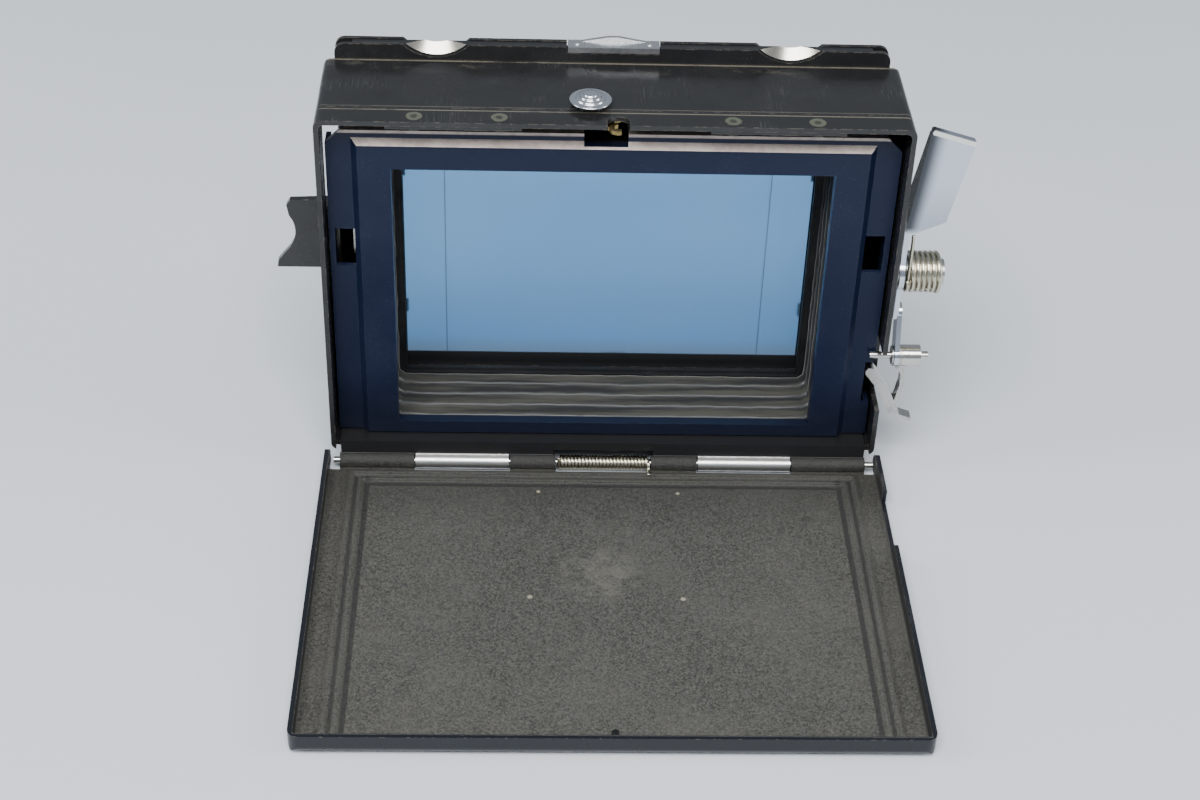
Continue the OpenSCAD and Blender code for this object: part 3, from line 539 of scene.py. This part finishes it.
def add_bellows(material):
    """Pleated cloth tube between the film frame's ring and the front plate's ring."""
    low, high = node_box("bellows")
    pleats, steps, corner, spacing = 4, 14, 1.1, 1.4
    rear, front = node_box("bellows_rear_ring")[1][1] + 0.05, high[1]
    base_x, base_z = high[0] - 2.75, (low[2] + 1.65, high[2] - 2.3)
    mid = (base_z[0] + base_z[1]) / 2
    outline = []
    for side in range(4):
        wide = side in (0, 2)
        length = 2 * base_x if wide else base_z[1] - base_z[0]
        count = int((length - 2 * corner) / spacing)
        for i in range(count + 1):
            u = -length / 2 + corner + (length - 2 * corner) * i / count
            place = [(u, base_z[0]), (base_x, mid + u), (-u, base_z[1]), (-base_x, mid - u)][side]
            out = [(0, -1), (1, 0), (0, 1), (-1, 0)][side]
            end = 1 - abs(u) / (length / 2)
            outline.append((place, out, side, min(1.0, end * 9)))
    depth = {0: 0.7, 1: 2.4, 2: 2.1, 3: 2.5}
    sections = pleats * steps + 1
    points = []
    for j in range(sections):
        t = j / (sections - 1)
        for (x, z), (ox, oz), side, fade in outline:
            wander = noise.noise(Vector((x * 0.09, z * 0.09, side * 7.0)))
            phase = t * pleats + 0.16 * wander * math.sin(math.pi * t)
            tri = 1 - abs(2 * (phase % 1) - 1)
            fold = tri * tri * (3 - 2 * tri)
            loose = 0.18 * noise.noise(Vector((x * 0.3, z * 0.3, t * 9)))
            bulge = depth[side] * (0.12 + 0.88 * fold) * (0.35 + 0.65 * fade) + loose * fade
            sag = 0.25 * math.sin(math.pi * t) * noise.noise(Vector((x * 0.05 + 4, z * 0.05, 2))) * fade
            y = rear + (front - rear) * t + 0.35 * wander * math.sin(math.pi * t)
            points.append((x + ox * (bulge + sag), y, z + oz * (bulge + sag)))
    n = len(outline)
    faces = [(j * n + i, j * n + (i + 1) % n, (j + 1) * n + (i + 1) % n, (j + 1) * n + i)
             for j in range(sections - 1) for i in range(n)]
    obj = piece("bellows_pleats", points, faces, material)
    thick = obj.modifiers.new("cloth", "SOLIDIFY")
    thick.thickness, thick.offset = 0.25 * MM, 1.0
    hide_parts("bellows")
    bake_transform(obj)


def add_hinge_spring(material):
    """The fine coil round the hinge pin, with one leg along the door's floor and a short stub."""
    leg_end = node_box("hinge_spring")[0][1] + 0.3
    wire, reach, radius = 0.35, 9.45, 1.27
    coil = helix(-reach, reach, HINGE_Y, HINGE_Z, radius, 25.25)
    leg_x = reach + 0.15
    leg = smooth_path([coil[-1], (reach + 0.1, HINGE_Y - 1.2, HINGE_Z + 1.0),
                       (leg_x, HINGE_Y - 2.2, 1.9), (leg_x, HINGE_Y - 2.9, 1.8), (leg_x, leg_end, 1.78)])
    stub = smooth_path([(-reach - 0.1, HINGE_Y - 1.0, HINGE_Z + 2.0),
                        (-reach - 0.05, HINGE_Y - 1.2, HINGE_Z + 1.0), coil[0]])
    points, faces = tube_mesh([*stub[:-1], *coil, *leg[1:]], wire, 10)
    obj = piece("hinge_coil", points, faces, material)
    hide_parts("hinge_spring")
    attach(obj, "door")


def add_lever_spring(material):
    """The thick coil on the right wall: a thin leg up the shell, a thick one bent underneath."""
    low, high = node_box("lever_spring")
    bush_low, bush_high = node_box("spring_bush")
    y, z = (bush_low[1] + bush_high[1]) / 2, (bush_low[2] + bush_high[2]) / 2
    wire, thin_wire = 0.62, 0.36
    radius = y - low[1] - wire
    inner, outer = bush_low[0] + 0.55, bush_high[0] - 0.6
    coil = helix(inner, outer, y, z, radius, 6.0)
    up = smooth_path([(inner - 0.1, low[1] + 0.75, high[2] - 0.2), (inner, low[1] + 0.7, z + 9),
                      (inner, low[1] + 0.66, z + 3), coil[0]])
    down = smooth_path([coil[-1], (outer, y - radius * 0.75, z - radius * 0.75),
                        (outer - 0.2, y, z - radius - 0.1), (outer - 2.5, y + radius, z - radius - 0.6),
                        (inner + 0.6, y + radius + 0.1, z - radius - 0.8)])
    thin, faces_thin = tube_mesh(up, thin_wire, 8)
    points, faces = tube_mesh([*coil, *down[1:]], wire, 12)
    start = len(points)
    faces += [tuple(start + i for i in f) for f in faces_thin]
    obj = piece("lever_coil", points + thin, faces, material)
    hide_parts("lever_spring")
    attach(obj, "shell")


def add_button(material):
    """The button's stepped cap, turned."""
    low, high = node_box("button_cap")
    centre = ((low[0] + high[0]) / 2, (low[1] + high[1]) / 2, low[2])
    r, h = (high[0] - low[0]) / 2, high[2] - low[2]
    profile = [(1.4, 0.03), (r - 0.5, 0.0), (r - 0.12, 0.03), (r, 0.16), (r - 0.07, 0.31), (r - 0.3, 0.37),
               (r - 0.65, 0.33), (3.05, 0.31), (2.9, 0.36), (2.86, 0.52), (2.78, 0.66), (2.55, 0.73),
               (2.3, 0.72), (2.16, 0.78), (2.13, 0.95), (2.06, 1.1), (1.85, 1.17), (1.55, 1.17),
               (1.42, 1.22), (1.38, 1.36), (1.25, 1.5), (0.9, h - 0.02), (0.3, h)]
    points, faces = lathe(profile, centre)
    obj = piece("button_top", points, faces, material)
    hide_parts("button_cap")
    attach(obj, "button")


def add_button_leaf(material):
    """The leaf spring under the button: riveted at one end, pressed down by the stem at the other."""
    low, high = node_box("button_spring")
    steps = 24
    points = []
    for i in range(steps + 1):
        x = low[0] + (high[0] - low[0]) * i / steps
        points += [(x, low[1], low[2]), (x, high[1], low[2]), (x, high[1], high[2]), (x, low[1], high[2])]
    faces = [(0, 1, 2, 3), tuple(4 * steps + k for k in (3, 2, 1, 0))]
    for i in range(steps):
        a, b = 4 * i, 4 * i + 4
        faces += [(a + k, b + k, b + (k + 1) % 4, a + (k + 1) % 4) for k in range(4)]
    obj = piece("button_leaf", points, faces, material, smooth=False)
    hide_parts("button_spring")
    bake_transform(obj)


def ridge_height(distance, half, height):
    """A soft embossed line's height at a distance from its middle."""
    t = max(0.0, 1 - abs(distance) / half)
    return height * t * t * (3 - 2 * t)


def add_door_lining(material):
    """The door's inner face with its two embossed lines, as one finely divided sheet."""
    x_end = HALF_W - 0.7
    y_low, y_high = DOOR_LOW[1] + 1.2, HINGE_Y - 2.1
    floor = DOOR_LOW[2] + 1.02
    ridges = ((53.3, HINGE_Y - 3.3), (51.1, HINGE_Y - 5.5))
    ridge_half, ridge_rise, step = 1.1, 0.62, 0.45
    nx, ny = int(2 * x_end / step), int((y_high - y_low) / step)
    points = []
    for j in range(ny + 1):
        y = y_low + (y_high - y_low) * j / ny
        for i in range(nx + 1):
            x = -x_end + 2 * x_end * i / nx
            z = floor
            rise = ridge_rise * min(1.0, max(0.0, (y - DOOR_LOW[1] - 3.0) / 1.5))
            for rx, ry in ridges:
                z = max(z, floor + ridge_height(max(abs(x) - rx, y - ry), ridge_half, rise))
            z += 0.015 * noise.noise(Vector((x * 0.07, y * 0.07, 0)))
            points.append((x, y, z))
    faces = [(j * (nx + 1) + i, j * (nx + 1) + i + 1, (j + 1) * (nx + 1) + i + 1, (j + 1) * (nx + 1) + i)
             for j in range(ny) for i in range(nx)]
    obj = piece("door_lining", points, faces, material)
    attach(obj, "door")


# ---- Build ----

add_camera()

black = lacquer("lacquer_shell", extra=shell_marks)
channel_black = lacquer("lacquer_channel", rough=0.17, wear=0.5)
plain_black = lacquer("lacquer_plain", rough=0.28, wear=0.5)
inner_black = lacquer("matt_inner", color=(0.006, 0.0065, 0.007), rough=0.45, wear=0.0)
door_paint = crinkle("crinkle_door")
frame_paint = satin("satin_frame")
bellows_cloth = cloth("bellows_cloth")
ground = glass("ground_glass")
nickel = metal("nickel", (0.56, 0.55, 0.52), 0.26, (0, 0, 0.1), 0.4)
hinge_nickel = hinge_metal("hinge_nickel")
bright = metal("bright_steel", (0.66, 0.64, 0.6), 0.18, (0, 0, math.pi / 2), 0.2)
spring = metal("spring_steel", (0.62, 0.58, 0.46), 0.24, (0, 0, math.pi / 2), 0.3, pits=False)
chrome = metal("chrome", (0.78, 0.79, 0.82), 0.2, (0.2, 0.3, 0.4), 0.2, 0.04, pits=False)
polished = scooped("glass_frame")
dark_steel = metal("dark_steel", (0.09, 0.088, 0.085), 0.35, (0, 0, 0), 0.4)
dull_steel = metal("dull_steel", (0.22, 0.21, 0.19), 0.4, (0, 0, 0), 0.6)
satin_steel = metal("satin_steel", (0.74, 0.74, 0.75), 0.3, (0, 0, math.pi / 2), 0.3, 0.2)
brass = metal("brass", (0.32, 0.24, 0.1), 0.3, (0, 0, 0), 0.6)
weld = weld_look("weld_marks")
lever_plate = thumb_chrome("lever_plate")

LOOKS = {
    "outer_shell": black, "rear_rim": black, "weld_rivets": weld, "front_plate": inner_black,
    "guide_clips": nickel, "front_channel": channel_black, "channel_cover": channel_black,
    "channel_screws": dark_steel, "bellows": bellows_cloth, "bellows_front_ring": inner_black,
    "bellows_rear_ring": inner_black, "hinge_leaves": hinge_nickel, "leaf_rivets": dull_steel,
    "hinge_pin": bright, "button_bush": plain_black, "latch_pivot": dull_steel, "button_spring": brass,
    "spring_post_rivet": dull_steel, "lever_post": nickel, "lever_spring": spring, "spring_bush": nickel,
    "slide_guides": dull_steel, "film_frame": frame_paint, "door_panel": door_paint,
    "door_striker": dark_steel, "hinge_spring": spring, "button_cap": chrome, "button_stem": nickel,
    "latch_hook": brass, "side_lever": lever_plate, "drive_stud": bright, "stud_washer": nickel,
    "draw_hook": nickel, "glass_frame": polished, "ground_glass": ground, "glass_clips": dark_steel,
    "catch_plate": satin_steel, "catch_rivets": satin_steel, "slide_tab": channel_black,
    "slide_bar": inner_black,
}
for node, look in LOOKS.items():
    assign(node, look)

BEVELS = {
    "outer_shell": 0.12, "rear_rim": 0.1, "front_channel": 0.14, "channel_cover": 0.14, "film_frame": 0.12,
    "door_panel": 0.18, "side_lever": 0.14, "catch_plate": 0.14, "slide_tab": 0.15, "glass_frame": 0.12,
    "hinge_leaves": 0.1, "drive_stud": 0.12, "draw_hook": 0.15, "latch_hook": 0.08, "hinge_pin": 0.12,
    "lever_post": 0.15, "button_bush": 0.06, "guide_clips": 0.05, "spring_bush": 0.1,
}
for node, width in BEVELS.items():
    bevel = nodes[node].modifiers.new("edges", "BEVEL")
    bevel.width, bevel.segments, bevel.limit_method = width * MM, 2, "ANGLE"
    bevel.angle_limit = math.radians(35)
    bevel.harden_normals = True

add_bellows(bellows_cloth)
add_hinge_spring(spring)
add_lever_spring(spring)
add_button(chrome)
add_button_leaf(brass)
add_door_lining(door_paint)


# ---- Floor and light ----

def add_floor():
    mesh = bpy.data.meshes.new("floor")
    edge = 4.0
    corners = [(-edge, -edge, 0), (edge, -edge, 0), (edge, edge, 0), (-edge, edge, 0)]
    mesh.from_pydata(corners, [], [(0, 1, 2, 3)])
    s = Shader("floor", rough=0.7, spec=0.2)
    s.set(color=s.mix(s.noise(0.01, 2), (0.66, 0.7, 0.74), (0.7, 0.735, 0.77)))
    mesh.materials.append(s.material)
    floor = bpy.data.objects.new("floor", mesh)
    bpy.context.collection.objects.link(floor)
    floor.location.z = -0.0002


def add_area(name, place, aim, size, power, color=(1, 1, 1)):
    data = bpy.data.lights.new(name, "AREA")
    data.shape, data.size, data.size_y = "RECTANGLE", size[0], size[1]
    data.energy, data.color = power, color
    light = bpy.data.objects.new(name, data)
    bpy.context.collection.objects.link(light)
    light.location = place
    light.rotation_euler = (Vector(aim) - Vector(place)).to_track_quat("-Z", "Y").to_euler()


def add_light():
    world = bpy.data.worlds.new("world")
    world.use_nodes = True
    background = world.node_tree.nodes["Background"]
    background.inputs["Color"].default_value = (0.7, 0.78, 0.88, 1)
    background.inputs["Strength"].default_value = 0.45
    bpy.context.scene.world = world
    add_area("key", (-0.1, -0.62, 0.92), (0, -0.05, 0.0), (0.8, 0.5), 17)
    add_area("left", (-0.9, -0.15, 0.5), (0, 0, 0.03), (0.4, 0.6), 4.5, (0.92, 0.96, 1.0))
    add_area("right", (0.9, -0.2, 0.4), (0, 0, 0.04), (0.3, 0.5), 3.5)


add_floor()
add_light()
